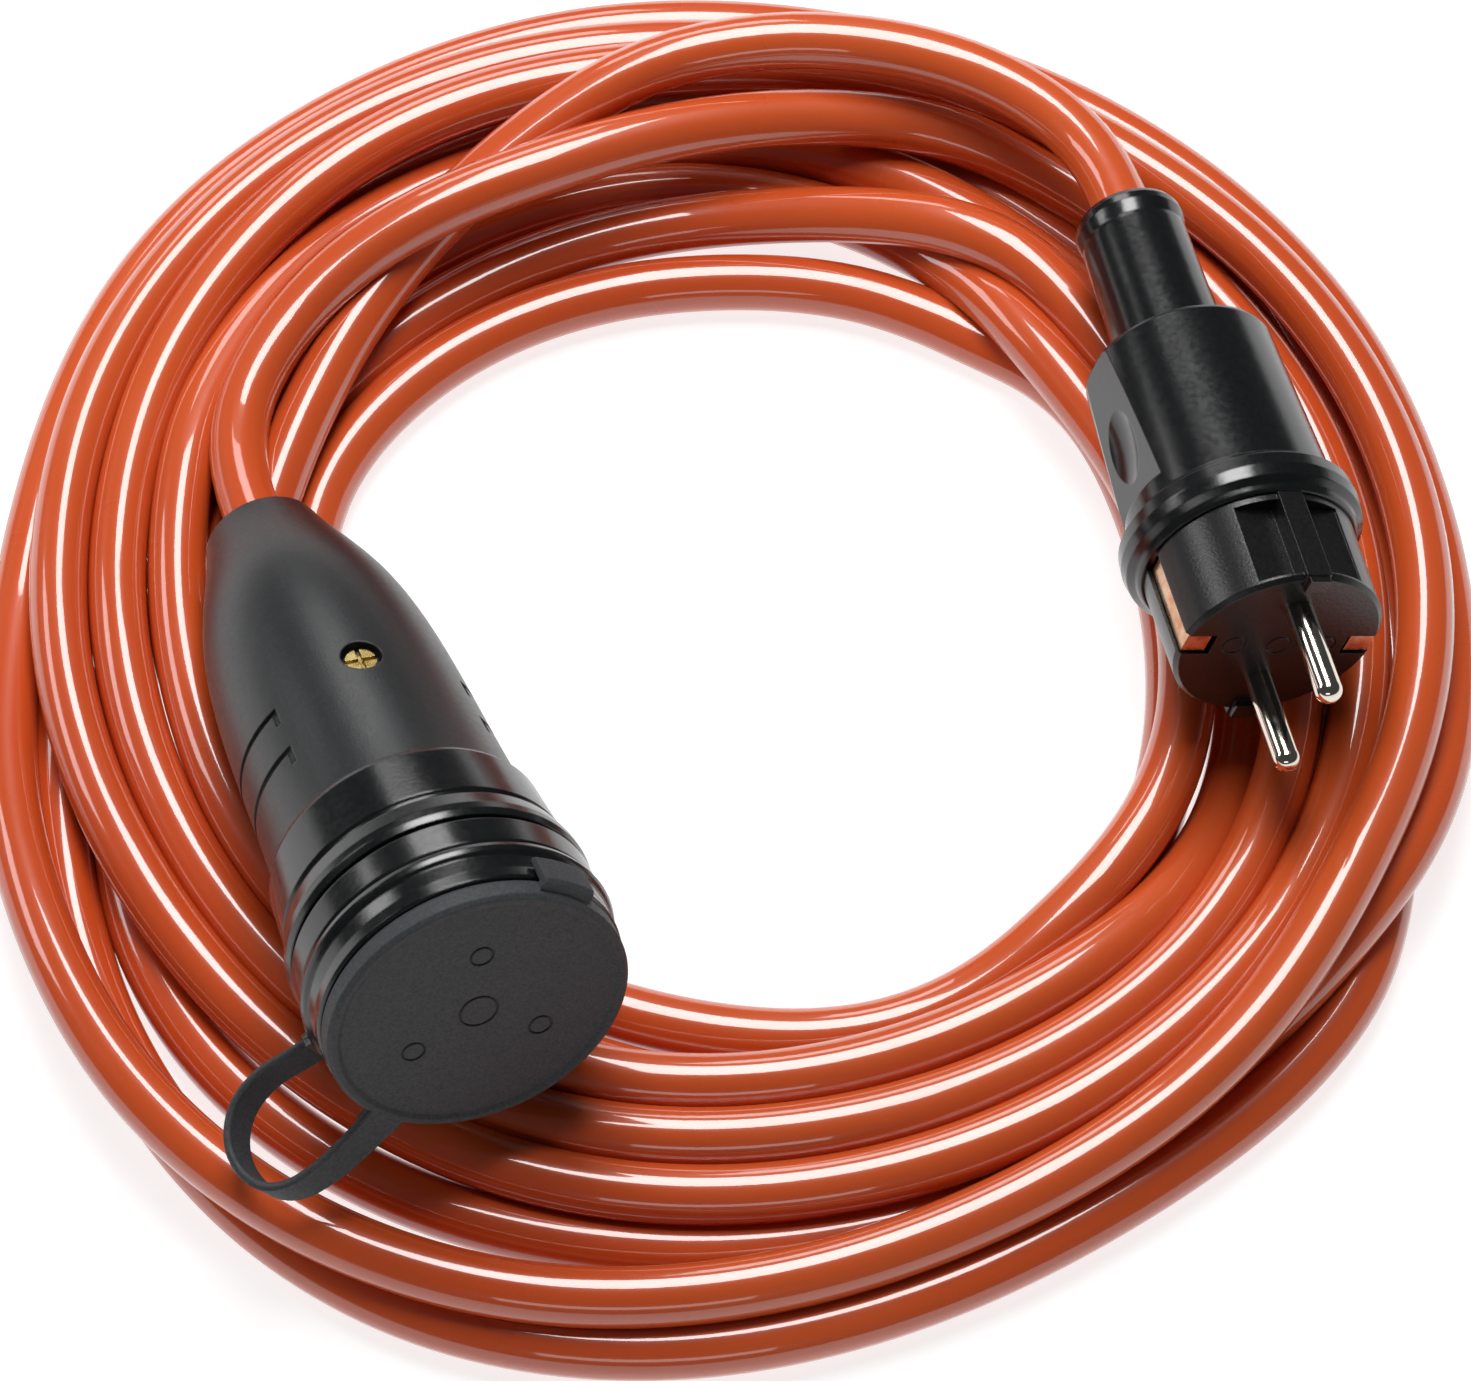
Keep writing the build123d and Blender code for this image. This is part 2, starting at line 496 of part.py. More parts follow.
# ---- Coupling: contacts ---------------------------------------------------------------------------------------------
for side, contact_name in ((1, "coupling_contact_line"), (-1, "coupling_contact_neutral")):
    contact_axis = Plane(origin=point(COUPLING, side * PIN_OFFSET, 0, 0), x_dir=COUPLING.x_dir, z_dir=COUPLING.z_dir)
    with BuildPart() as contact:
        # Split tulip sleeve that grips a pin, with a terminal block behind it.
        tube(contact_axis, -36.0, -22.6, 3.4, PIN_R + 0.03)
        bar(contact_axis, (-0.45, 0.45), (-5, 5), (-33.0, -22), Mode.SUBTRACT)
        tube(contact_axis, -45.0, -36.0, 3.5)
        with BuildSketch(side_plane(contact_axis, 90, -41, 0), mode=Mode.PRIVATE) as screw_way:
            Circle(1.5)
        extrude(screw_way.sketch, amount=4, mode=Mode.SUBTRACT)
    keep(contact, contact_name)

with BuildPart() as coupling_earth_bow:
    bow_plane = Plane(origin=point(COUPLING, -BOW_HALF, 0, 0), x_dir=COUPLING.y_dir, z_dir=COUPLING.x_dir)
    with BuildSketch(bow_plane):
        with BuildLine():
            # Outer face down one side, stepped in behind the socket, then the sprung inner face back up.
            far, near = WELL_R + 1.6, WELL_R + 0.7
            outside = [(far, -4.6), (far, -37.4), (18.3, -37.4), (18.3, -40.5)]
            inside = [(17.4, -39.6), (17.4, -36.5), (near, -36.5), (near, -16.0), (near - 2.2, -11.0),
                      (near - 2.2, -9.0)]
            mirrored_out = [(-y, z) for y, z in reversed(outside)]
            mirrored_in = [(-y, z) for y, z in reversed(inside)]
            Polyline(*outside, *mirrored_out, *mirrored_in, *inside, close=True)
        make_face()
    extrude(amount=2 * BOW_HALF)
keep(coupling_earth_bow, "coupling_earth_bow")

with BuildPart() as coupling_terminal_screws:
    for side in (-1, 1):
        terminal = Plane(origin=point(COUPLING, side * PIN_OFFSET, 0, 0), x_dir=COUPLING.x_dir, z_dir=COUPLING.z_dir)
        cheese_head_screw(side_plane(terminal, 90, -41, 3.55), 2.5, 1.8, 1.45, 3.0)
keep(coupling_terminal_screws, "coupling_terminal_screws")

# ---- Coupling: carrier, clamp and the cable inside --------------------------------------------------------------------
COUPLING_CLAMP_Z = -62.0
with BuildPart() as coupling_carrier:
    carrier(COUPLING, -67.5, -47.0, 11.5, COUPLING_CLAMP_Z)
keep(coupling_carrier, "coupling_carrier")

with BuildPart() as coupling_cord_clamp:
    clamp(COUPLING, COUPLING_CLAMP_Z)
keep(coupling_cord_clamp, "coupling_cord_clamp")

with BuildPart() as coupling_clamp_screws:
    clamp_screws(COUPLING, COUPLING_CLAMP_Z)
keep(coupling_clamp_screws, "coupling_clamp_screws")

with BuildPart() as coupling_cord_end:
    tube(COUPLING, -COUPLING_LENGTH, -57.0, CORD_R)
keep(coupling_cord_end, "coupling_cord_end")

COUPLING_CORES = {
    "coupling_core_brown": [(CORE_PITCH, 0, -57), (CORE_PITCH, 0, -54), (PIN_OFFSET, 0, -49), (PIN_OFFSET, 0, -45)],
    "coupling_core_blue": [(-CORE_PITCH, 0, -57), (-CORE_PITCH, 0, -54), (-PIN_OFFSET, 0, -49), (-PIN_OFFSET, 0, -45)],
    "coupling_core_earth": [(0, 3.2, -57), (0, 3.2, -53.5), (0, 5.0, -48), (0, 5.0, -40.5)],
}
for core_name, core_points in COUPLING_CORES.items():
    with BuildPart() as core:
        core_wire(COUPLING, core_points)
    keep(core, core_name)

# ---- Cap on its tether --------------------------------------------------------------------------------------------------
TETHER_ROLL = 207.0  # the side of the coupling that the strap is on, round the axis from X
LUG_ROLL = 223.0  # where the strap joins the cap
TAB_ROLL = 47.0  # the side that the cap's pull tab is on
STRAP_WIDTH = 6.0
STRAP_T = 1.6
with BuildPart() as tether_ring:
    turned(COUPLING, [(RING_BACK, 24.65), (RING_BACK, 25.8), (RING_BACK + 0.6, 26.2), (RING_FRONT - 0.6, 26.2),
                      (RING_FRONT, 25.8), (RING_FRONT, 24.65)])
    root = side_plane(COUPLING, TETHER_ROLL, (RING_BACK + RING_FRONT) / 2, 25.9)
    with BuildSketch(root, mode=Mode.PRIVATE) as root_pad:
        Rectangle(STRAP_T + 1.2, STRAP_WIDTH)
    extrude(root_pad.sketch, amount=2.6)
keep(tether_ring, "tether_ring")

with BuildPart() as tether_cap:
    turned(COUPLING, [(-CAP_SKIRT, CAP_R), (-0.7, CAP_R), (0, CAP_R - 0.7), (0, CAP_R - 1.6), (-0.5, CAP_R - 2.3),
                      (-0.5, 0), (-1.7, 0), (-1.7, LIP_R + CAP_CLEARANCE), (-CAP_SKIRT, LIP_R + CAP_CLEARANCE)])
    # Lug that the strap joins.
    edge = side_plane(COUPLING, LUG_ROLL, -1.0, CAP_R - 0.8)
    with BuildSketch(edge, mode=Mode.PRIVATE) as lug:
        Rectangle(1.6, STRAP_WIDTH + 1)
    extrude(lug.sketch, amount=3.2)
    # Pull tab: a short lip that follows the rim and reaches back past the skirt.
    with BuildPart(mode=Mode.PRIVATE) as tab:
        turned(COUPLING, [(-1.4, CAP_R - 0.5), (-1.4, 27.2), (-2.2, 27.8), (-7.0, 27.8), (-7.6, 27.2),
                          (-7.6, 26.5), (-3.0, 26.4), (-3.0, CAP_R - 0.5)])
        reach = side_plane(COUPLING, TAB_ROLL, -4.5, 20.0)
        with BuildSketch(reach, mode=Mode.PRIVATE) as window:
            Rectangle(9, 10)
        extrude(window.sketch, amount=10, mode=Mode.INTERSECT)
    add(tab.part)
    # Faint round marks that the mould leaves in the face.
    mark_spots = [(0.0, 0.0, 3.4)]
    mark_spots += [(12.5 * cos(radians(a)), 12.5 * sin(radians(a)), 2.1) for a in (80, 200, 320)]
    for mark_x, mark_y, mark_r in mark_spots:
        with BuildSketch(COUPLING.offset(-0.75), mode=Mode.PRIVATE) as mark:
            with Locations((mark_x, mark_y)):
                Circle(mark_r)
                Circle(mark_r - 0.4, mode=Mode.SUBTRACT)
        extrude(mark.sketch, amount=1, mode=Mode.SUBTRACT)
keep(tether_cap, "tether_cap")

# The strap leaves the ring, loops out to the side and comes back to the cap's lug.
# Distance from the axis, z, and direction round the axis, along the loop.
STRAP_LOOP = [
    (28.55, -15.5, 207), (37.5, -17.6, 207), (44.5, -15.0, 208), (47.8, -8.5, 210), (46.0, -1.0, 213),
    (41.0, 2.0, 216), (34.5, 0.6, 220), (28.05, -1.0, 223),
]
with BuildPart() as tether_strap:
    route = [side_plane(COUPLING, roll, z, reach).origin for reach, z, roll in STRAP_LOOP]
    outward = side_plane(COUPLING, 207, 0, 0).z_dir
    inward = -side_plane(COUPLING, 223, 0, 0).z_dir
    with BuildLine(mode=Mode.PRIVATE) as loop:
        Spline(*route, tangents=(outward, inward))
    start = Plane(origin=route[0], x_dir=COUPLING.z_dir, z_dir=outward)
    with BuildSketch(start, mode=Mode.PRIVATE) as band:
        Rectangle(STRAP_T, STRAP_WIDTH)
    sweep(band.sketch, path=loop.wires()[0])
keep(tether_strap, "tether_strap")

# ---- Figures that the record needs -----------------------------------------------------------------------------------------
for title, base in (("plug", PLUG), ("coupling", COUPLING)):
    print(title, "nose", tuple(round(v, 3) for v in base.origin), "axis", tuple(round(v, 5) for v in base.z_dir))
    print(title, "x", tuple(round(v, 5) for v in base.x_dir), "y", tuple(round(v, 5) for v in base.y_dir))
for side in (-1, 1):
    print("pin base", tuple(round(v, 3) for v in point(PLUG, side * PIN_OFFSET, 0, PIN_LENGTH / 2)))
    print("socket bore", tuple(round(v, 3) for v in point(COUPLING, side * PIN_OFFSET, 0, -28)))
hinge = side_plane(COUPLING, (TETHER_ROLL + LUG_ROLL) / 2, -CAP_SKIRT, 27.0)
print("cap hinge", tuple(round(v, 3) for v in hinge.origin), "outward", tuple(round(v, 5) for v in hinge.z_dir))
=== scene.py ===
"""Looks of the coiled extension cord: the cable as one relaxed curve, the cap's strap, and every material.

Lengths are metres in the CAD frame, except inside the cable's route, which is written in millimetres.
"""

import json
from math import cos, pi, radians, sin

import bmesh
import bpy
import numpy as np
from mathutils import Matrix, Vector


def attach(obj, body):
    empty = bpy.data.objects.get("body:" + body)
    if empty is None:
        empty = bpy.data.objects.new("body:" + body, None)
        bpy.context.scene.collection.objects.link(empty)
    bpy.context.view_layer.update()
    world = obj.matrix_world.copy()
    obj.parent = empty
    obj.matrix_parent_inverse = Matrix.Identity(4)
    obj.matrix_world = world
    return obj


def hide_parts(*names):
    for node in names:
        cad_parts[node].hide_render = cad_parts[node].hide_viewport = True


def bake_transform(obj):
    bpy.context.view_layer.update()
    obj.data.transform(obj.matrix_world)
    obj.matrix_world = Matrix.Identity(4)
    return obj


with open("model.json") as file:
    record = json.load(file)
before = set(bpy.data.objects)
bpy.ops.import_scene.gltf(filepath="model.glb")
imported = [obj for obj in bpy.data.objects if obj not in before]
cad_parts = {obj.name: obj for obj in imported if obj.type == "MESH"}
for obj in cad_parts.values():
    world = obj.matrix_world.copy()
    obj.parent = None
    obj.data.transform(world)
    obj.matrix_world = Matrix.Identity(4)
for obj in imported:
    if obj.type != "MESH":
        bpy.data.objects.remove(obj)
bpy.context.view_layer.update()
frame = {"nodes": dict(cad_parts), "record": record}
MM = 0.001


# ---- Camera ---------------------------------------------------------------------------------------
def add_camera(place, target, lens):
    data = bpy.data.cameras.new("camera")
    data.lens = lens
    data.sensor_width = 36.0
    data.clip_end = 50.0
    camera = bpy.data.objects.new("camera", data)
    bpy.context.scene.collection.objects.link(camera)
    camera.location = place
    camera.rotation_euler = (Vector(target) - Vector(place)).to_track_quat("-Z", "Y").to_euler()
    bpy.context.scene.camera = camera


CAMERA_LIFT = radians(60)
CAMERA_RANGE = 1.05
TARGET = Vector((0.0, -0.004, 0.0))
add_camera(TARGET + CAMERA_RANGE * Vector((0, -cos(CAMERA_LIFT), sin(CAMERA_LIFT))), TARGET, lens=145.2)


# ---- Where the two fittings lie ----------------------------------------------------------------------
class Fitting:
    """A fitting's own frame in millimetres: z towards its nose, x from contact to contact."""

    def __init__(self, line_mount, neutral_mount, nose_offset):
        mounts = {m["name"]: m for m in frame["record"]["mounts"]}
        line, neutral = (np.array(mounts[name]["pos_m"]) / MM for name in (line_mount, neutral_mount))
        self.z = np.array(mounts[line_mount]["axis"], float)
        self.x = (line - neutral) / np.linalg.norm(line - neutral)
        self.y = np.cross(self.z, self.x)
        self.nose = (line + neutral) / 2 + self.z * nose_offset

    def point(self, x, y, z):
        """A point of the fitting, in row-frame millimetres."""
        return self.nose + self.x * x + self.y * y + self.z * z


PLUG = Fitting("pin_line", "pin_neutral", nose_offset=-8.45)
COUPLING = Fitting("socket_line", "socket_neutral", nose_offset=29.0)
BOOT_MOUTH = -95.5
TAIL_MOUTH = -119.5

# ---- Cable ---------------------------------------------------------------------------------------------
CORD_D = 10.4
CONTACT = 9.8  # the sheath gives a little where two turns press together
STEP = 6.0  # node spacing while the turns settle

# The lead from each fitting, from its mouth to where it joins the turns.
PLUG_LEAD = [
    PLUG.point(0, 0, BOOT_MOUTH),
    PLUG.point(0, 0, BOOT_MOUTH - 10),
    (61.2, 92.8, 34.2),
    (51.5, 102.0, 33.9),
    (39.0, 108.8, 33.6),
    (24.0, 113.0, 33.2),
    (6.0, 114.5, 32.5),
    (-16.5, 110.5, 30.5),
    (-36.5, 99.2, 25.0),
    (-54.0, 84.5, 19.0),
    (-67.8, 66.0, 15.5),
    (-76.5, 46.5, 14.5),
]
COUPLING_LEAD = [
    COUPLING.point(0, 0, TAIL_MOUTH),
    COUPLING.point(0, 0, TAIL_MOUTH - 14),
    (-88.8, 42.0, 18.4),
    (-82.3, 58.0, 19.6),
    (-71.0, 71.0, 23.0),
    (-55.5, 80.3, 27.0),
    (-36.0, 88.3, 28.8),
    (-12.0, 98.3, 27.0),
    (14.0, 104.7, 22.7),
    (38.0, 105.5, 17.5),
    (58.0, 98.0, 12.5),
]

# How each turn lies, from the plug's end to the coupling's: direction in degrees from +X, distance from
# the middle of the coil, and height of the layer that it lies in.
FLOOR, SECOND, TOP = 5.2, 14.0, 22.0
TURNS = [
    [(155, 88, 14), (165, 87, 13), (180, 86, 8), (200, 84, FLOOR), (254, 84, FLOOR), (280, 88, FLOOR),
     (300, 91, FLOOR), (315, 87, FLOOR), (330, 81, FLOOR), (350, 79, FLOOR)],
    [(10, 79, FLOOR), (25, 82, FLOOR), (45, 89, FLOOR), (60, 90, FLOOR), (75, 86, FLOOR), (90, 82, FLOOR),
     (110, 82, FLOOR), (130, 83, FLOOR), (155, 84, FLOOR), (180, 78, FLOOR), (200, 74, FLOOR),
     (254, 73, FLOOR), (270, 75, FLOOR), (285, 79, FLOOR), (300, 82, 6), (312, 83, 10), (325, 84, SECOND),
     (340, 83, SECOND)],
    [(0, 80, SECOND), (20, 79, SECOND), (42, 80, SECOND), (50, 81, 13), (60, 86, 9), (70, 92, FLOOR),
     (85, 97, FLOOR), (100, 101, FLOOR), (120, 103, FLOOR), (160, 104, FLOOR), (180, 106, FLOOR),
     (195, 112, FLOOR), (210, 118, FLOOR), (225, 120, FLOOR), (240, 118, FLOOR), (260, 113, FLOOR),
     (280, 111, FLOOR), (305, 111, FLOOR), (320, 114, 10), (332, 119, 13), (345, 123, 11)],
    [(0, 124, 7), (20, 126, FLOOR), (40, 129, FLOOR), (60, 131, FLOOR), (80, 133, FLOOR), (100, 138, FLOOR),
     (120, 137, FLOOR), (140, 136, FLOOR), (150, 132, FLOOR), (160, 128, FLOOR), (175, 125, FLOOR),
     (190, 126, 9), (205, 129, SECOND), (220, 134, SECOND), (235, 136, SECOND), (250, 134, SECOND),
     (260, 130, SECOND), (270, 126, SECOND), (285, 120, SECOND), (300, 117, 15), (315, 117, 19),
     (330, 118, TOP), (345, 119, TOP)],
    [(0, 121, TOP), (20, 121, TOP), (35, 120, TOP), (45, 119, 21), (57, 117, 20), (66, 119, 19), (75, 120, 18),
     (90, 119, 18), (101, 120, 18), (110, 122, 19), (120, 122, 19), (130, 121, 18), (140, 119, 16),
     (150, 115, SECOND), (165, 111, SECOND), (180, 107, SECOND), (200, 103, SECOND), (218, 100, SECOND),
     (254, 99, SECOND), (285, 98, SECOND), (315, 98, SECOND), (333, 99, SECOND), (345, 99, SECOND)],
    [(0, 97, SECOND), (20, 93, SECOND), (42, 90, SECOND), (50, 93, SECOND), (60, 97, SECOND), (70, 102, 13),
     (80, 108, 11), (100, 112, 9), (120, 114, 8), (138, 109, 12), (150, 102, SECOND), (170, 97, SECOND),
     (190, 94, SECOND), (254, 93, SECOND), (262, 91, SECOND), (275, 90, SECOND), (295, 89, SECOND),
     (310, 91, SECOND), (322, 93, 12), (335, 94, 8), (350, 92, FLOOR)],
    [(20, 90, 8), (45, 88, 13), (68, 88, SECOND), (78, 89, 11), (88, 90, 8), (103, 91, 7), (118, 92, 6),
     (135, 93, FLOOR), (160, 95, FLOOR), (200, 94, FLOOR), (254, 94, FLOOR), (280, 98, FLOOR),
     (300, 101, FLOOR), (345, 102, FLOOR)],
    [(20, 103, FLOOR), (45, 104, FLOOR), (60, 106, FLOOR), (72, 110, FLOOR), (85, 117, FLOOR),
     (100, 122, FLOOR), (130, 124, FLOOR), (150, 121, FLOOR), (180, 116, FLOOR), (195, 122, FLOOR),
     (210, 129, FLOOR), (220, 132, FLOOR), (232, 136, FLOOR), (245, 137, FLOOR), (258, 135, FLOOR),
     (270, 131, FLOOR), (280, 127, FLOOR), (290, 124, FLOOR), (302, 121, FLOOR), (325, 122, FLOOR),
     (340, 119, FLOOR), (352, 115, FLOOR)],
    [(10, 114, FLOOR), (25, 116, 8), (38, 120, 11), (50, 122, SECOND), (62, 126, SECOND), (75, 126, SECOND),
     (90, 127, SECOND), (100, 129, SECOND), (112, 131, SECOND), (130, 131, SECOND), (140, 129, SECOND),
     (150, 127, SECOND), (160, 124, SECOND), (170, 120, SECOND), (180, 118, SECOND), (200, 114, SECOND),
     (220, 111, SECOND), (250, 109, SECOND), (275, 107, SECOND), (290, 108, 16), (315, 109, 17),
     (335, 109, 16), (350, 110, SECOND)],
    [(5, 111, SECOND), (25, 113, 12), (47, 113.5, 11.5)],
]

# Outlines of the fittings, as (z, radius), that the turns lie clear of.
PLUG_OUTLINE = [(-95.5, 10), (-62, 10.6), (-61.9, 17.2), (-28, 18.8), (-27, 21.6), (-18, 21.6), (-17, 19), (0, 18.6)]
COUPLING_OUTLINE = [(-119.5, 10.6), (-106, 15), (-97, 17.9), (-87, 19.8), (-60, 21.7), (-38, 24.4), (-20, 27),
                    (0, 26)]


def spline_points(control, per_span=8):
    """Points along the quadratic B-spline that a clamped NURBS curve of order 3 follows."""
    control = np.array(control, float)
    knots = np.concatenate([control[:1], (control[1:-2] + control[2:-1]) / 2, control[-1:]])
    points = []
    for a, b, c in zip(knots, control[1:-1], knots[1:]):
        t = np.linspace(0, 1, per_span, endpoint=False)[:, None]
        points.append((1 - t) ** 2 * a + 2 * t * (1 - t) * b + t**2 * c)
    return np.concatenate([*points, control[-1:]])


def even_points(line, step):
    """The same line with its points a step apart."""
    run = np.concatenate([[0], np.cumsum(np.linalg.norm(np.diff(line, axis=0), axis=1))])
    stations = np.linspace(0, run[-1], max(2, round(run[-1] / step) + 1))
    return np.stack([np.interp(stations, run, line[:, k]) for k in range(3)], axis=1)


def smoothed(values, passes):
    """Values averaged with their neighbours, ends held."""
    for _ in range(passes):
        inner = values[1:-1] * 0.5 + (values[:-2] + values[2:]) * 0.25
        values = np.concatenate([values[:1], inner, values[-1:]])
    return values


def wound_turns():
    """The turns before they settle: every turn's directions joined into one spiral of evenly spaced nodes."""
    turned, reach, height = [], [], []
    for number, turn in enumerate(TURNS):
        for direction, radius, level in turn:
            turned.append(direction + 360 * number)
            reach.append(radius)
            height.append(level)
    angle = np.arange(turned[0], turned[-1] + 0.5, 3.0)
    reach = smoothed(np.interp(angle, turned, reach), 14)
    height = smoothed(np.interp(angle, turned, height), 14)
    line = np.stack([reach * np.cos(np.radians(angle)), reach * np.sin(np.radians(angle)), height], axis=1)
    return even_points(line, STEP)


def close_pairs(nodes, starts, ends, own, reach):
    """Pairs of a node and a stretch nearer than reach, leaving out a node's own neighbourhood."""
    middle = (starts + ends) / 2
    gap = ((nodes[:, None, :] - middle[None, :, :]) ** 2).sum(axis=2)
    near = gap < reach**2
    if own:
        index = np.arange(len(nodes))[:, None] - np.arange(len(starts))[None, :]
        near &= np.abs(index - 0.5) > 7
    return np.nonzero(near)


def push_apart(nodes, starts, ends, pair, moved):
    """Moves nodes that are nearer to a stretch than one diameter; the stretch moves too if it is a turn's."""
    who, stretch = pair
    if not len(who):
        return nodes
    a, b = starts[stretch], ends[stretch]
    along = b - a
    share = np.clip(((nodes[who] - a) * along).sum(axis=1) / (along**2).sum(axis=1), 0, 1)
    offset = nodes[who] - (a + along * share[:, None])
    distance = np.linalg.norm(offset, axis=1) + 1e-9
    depth = np.clip(CONTACT - distance, 0, None)
    push = offset / distance[:, None] * depth[:, None] * (0.5 if moved else 1.0)
    touched = depth > 0
    count = np.bincount(who[touched], minlength=len(nodes)).astype(float)
    total = np.stack([np.bincount(who, push[:, k], len(nodes)) for k in range(3)], axis=1)
    if moved:
        for end, weight in ((stretch, 1 - share), (stretch + 1, share)):
            total -= np.stack([np.bincount(end, push[:, k] * weight, len(nodes)) for k in range(3)], axis=1)
            count += np.bincount(end[touched], minlength=len(nodes))
    return nodes + total / np.maximum(1, count * 0.6)[:, None]


def clear_of(nodes, fitting, outline):
    """Nodes pushed out of a fitting's round body."""
    local = nodes - fitting.nose
    z = local @ fitting.z
    across = local - z[:, None] * fitting.z
    distance = np.linalg.norm(across, axis=1) + 1e-9
    stations, radii = zip(*outline)
    room = np.interp(z, stations, radii) + CORD_D / 2 + 0.2
    inside = (z > stations[0] - 4) & (z < stations[-1] + 5) & (distance < room)
    push = across / distance[:, None] * (room - distance)[:, None]
    return nodes + np.where(inside[:, None], push, 0)


def settled(rest, leads):
    """Turns that lie on the floor, on each other and round the fittings, as near to rest as they can."""
    nodes = rest.copy()
    lead_starts = np.concatenate([lead[:-1] for lead in leads])
    lead_ends = np.concatenate([lead[1:] for lead in leads])
    rounds = 420
    for step in range(rounds):
        final = step > rounds - 60
        if step % 12 == 0:
            own = close_pairs(nodes, nodes[:-1], nodes[1:], True, CORD_D + 9)
            others = close_pairs(nodes[8:-8], lead_starts, lead_ends, False, CORD_D + 9)
            others = (others[0] + 8, others[1])
        shift = nodes - rest
        shift = smoothed(shift, 1 if final else 4)
        shift[:, :2] *= 1.0 if final else 0.985
        shift[:, 2] = shift[:, 2] * 0.99 - (0.01 if final else 0.05)
        nodes = rest + shift
        nodes = push_apart(nodes, nodes[:-1], nodes[1:], own, True)
        nodes = push_apart(nodes, lead_starts, lead_ends, others, False)
        nodes = clear_of(nodes, PLUG, PLUG_OUTLINE)
        nodes = clear_of(nodes, COUPLING, COUPLING_OUTLINE)
        nodes[:, 2] = np.maximum(nodes[:, 2], CORD_D / 2)
        nodes[0], nodes[-1] = rest[0], rest[-1]
    return nodes


def cord_route():
    """Control points of the whole cable in millimetres, from the plug's boot to the coupling's tail."""
    leads = [even_points(spline_points(lead), STEP) for lead in (PLUG_LEAD, COUPLING_LEAD)]
    turns = settled(wound_turns(), leads)
    return np.concatenate([np.array(PLUG_LEAD), turns[1:-1:2], np.array(COUPLING_LEAD)[::-1]])


def add_cord(points):
    """The cable as one NURBS curve, and its length."""
    curve = bpy.data.curves.new("cable", "CURVE")
    curve.dimensions = "3D"
    curve.resolution_u = 4
    curve.bevel_depth = CORD_D / 2 * MM
    curve.bevel_resolution = 6
    curve.use_fill_caps = True
    spline = curve.splines.new("NURBS")
    spline.points.add(len(points) - 1)
    for spot, place in zip(spline.points, points * MM):
        spot.co = (*place, 1.0)
    spline.order_u = 3
    spline.use_endpoint_u = True
    cord = bpy.data.objects.new("cable", curve)
    bpy.context.scene.collection.objects.link(cord)
    line = spline_points(points)
    return cord, float(np.linalg.norm(np.diff(line, axis=0), axis=1).sum()) * MM


# ---- Materials -------------------------------------------------------------------------------------------
def linear(red, green, blue):
    """Scene colour of a display colour given from 0 to 255."""
    return tuple(((v / 255 + 0.055) / 1.055) ** 2.4 if v > 10 else v / 255 / 12.92 for v in (red, green, blue)) + (1,)


class Surface:
    """A Principled material and short ways to add detail to it."""

    def __init__(self, name, colour, roughness, **sockets):
        self.material = bpy.data.materials.new(name)
        self.material.use_nodes = True
        self.tree = self.material.node_tree
        self.shader = self.tree.nodes["Principled BSDF"]
        self.shader.inputs["Base Color"].default_value = colour
        self.shader.inputs["Roughness"].default_value = roughness
        for socket, value in sockets.items():
            self.shader.inputs[socket.replace("_", " ")].default_value = value
        self.place = self.node("ShaderNodeTexCoord").outputs["Object"]
        self.normal = None

    def node(self, kind, **values):
        made = self.tree.nodes.new(kind)
        for name, value in values.items():
            if name in made.inputs:
                made.inputs[name].default_value = value
            else:
                setattr(made, name, value)
        return made

    def link(self, start, end):
        self.tree.links.new(start, end)

    def noise(self, scale, detail=3.0, stretch=None):
        texture = self.node("ShaderNodeTexNoise", Scale=scale, Detail=detail)
        start = self.place
        if stretch:
            mapping = self.node("ShaderNodeMapping", Scale=stretch)
            self.link(start, mapping.inputs["Vector"])
            start = mapping.outputs["Vector"]
        self.link(start, texture.inputs["Vector"])
        return texture.outputs["Fac"]

    def ramp(self, factor, stops):
        ramp = self.node("ShaderNodeValToRGB")
        ramp.color_ramp.elements[0].position, ramp.color_ramp.elements[0].color = stops[0]
        ramp.color_ramp.elements[1].position, ramp.color_ramp.elements[1].color = stops[1]
        self.link(factor, ramp.inputs["Fac"])
        return ramp.outputs["Color"]

    def colour_between(self, factor, low, high):
        """Base colour that wanders between two shades."""
        self.link(self.ramp(factor, [(0.35, low), (0.65, high)]), self.shader.inputs["Base Color"])
        return self

    def roughness_between(self, factor, low, high):
        spread = self.node("ShaderNodeMapRange", **{"From Min": 0.3, "From Max": 0.7, "To Min": low, "To Max": high})
        self.link(factor, spread.inputs["Value"])
        self.link(spread.outputs["Result"], self.shader.inputs["Roughness"])
        return self

    def bump(self, height, distance, strength=1.0):
        bump = self.node("ShaderNodeBump", Distance=distance, Strength=strength)
        self.link(height, bump.inputs["Height"])
        if self.normal:
            self.link(self.normal, bump.inputs["Normal"])
        self.normal = bump.outputs["Normal"]
        self.link(self.normal, self.shader.inputs["Normal"])
        return self

    def soft_edges(self, radius):
        """Moulded edges catch the light as if slightly rounded."""
        bevel = self.node("ShaderNodeBevel", Radius=radius)
        bevel.samples = 4
        self.normal = bevel.outputs["Normal"]
        self.link(self.normal, self.shader.inputs["Normal"])
        return self


def cable_sheath():
    s = Surface("cable_sheath", linear(200, 78, 34), 0.3, Specular_IOR_Level=0.3, Coat_Weight=0.8, Coat_Roughness=0.05, Coat_IOR=1.7)
    s.colour_between(s.noise(7, 2), linear(198, 76, 32), linear(206, 86, 38))
    s.roughness_between(s.noise(60, 3), 0.26, 0.36)
    s.bump(s.noise(110, 2), 0.00022, 0.3)
    s.bump(s.noise(900, 3), 0.00003, 0.4)
    return s.material


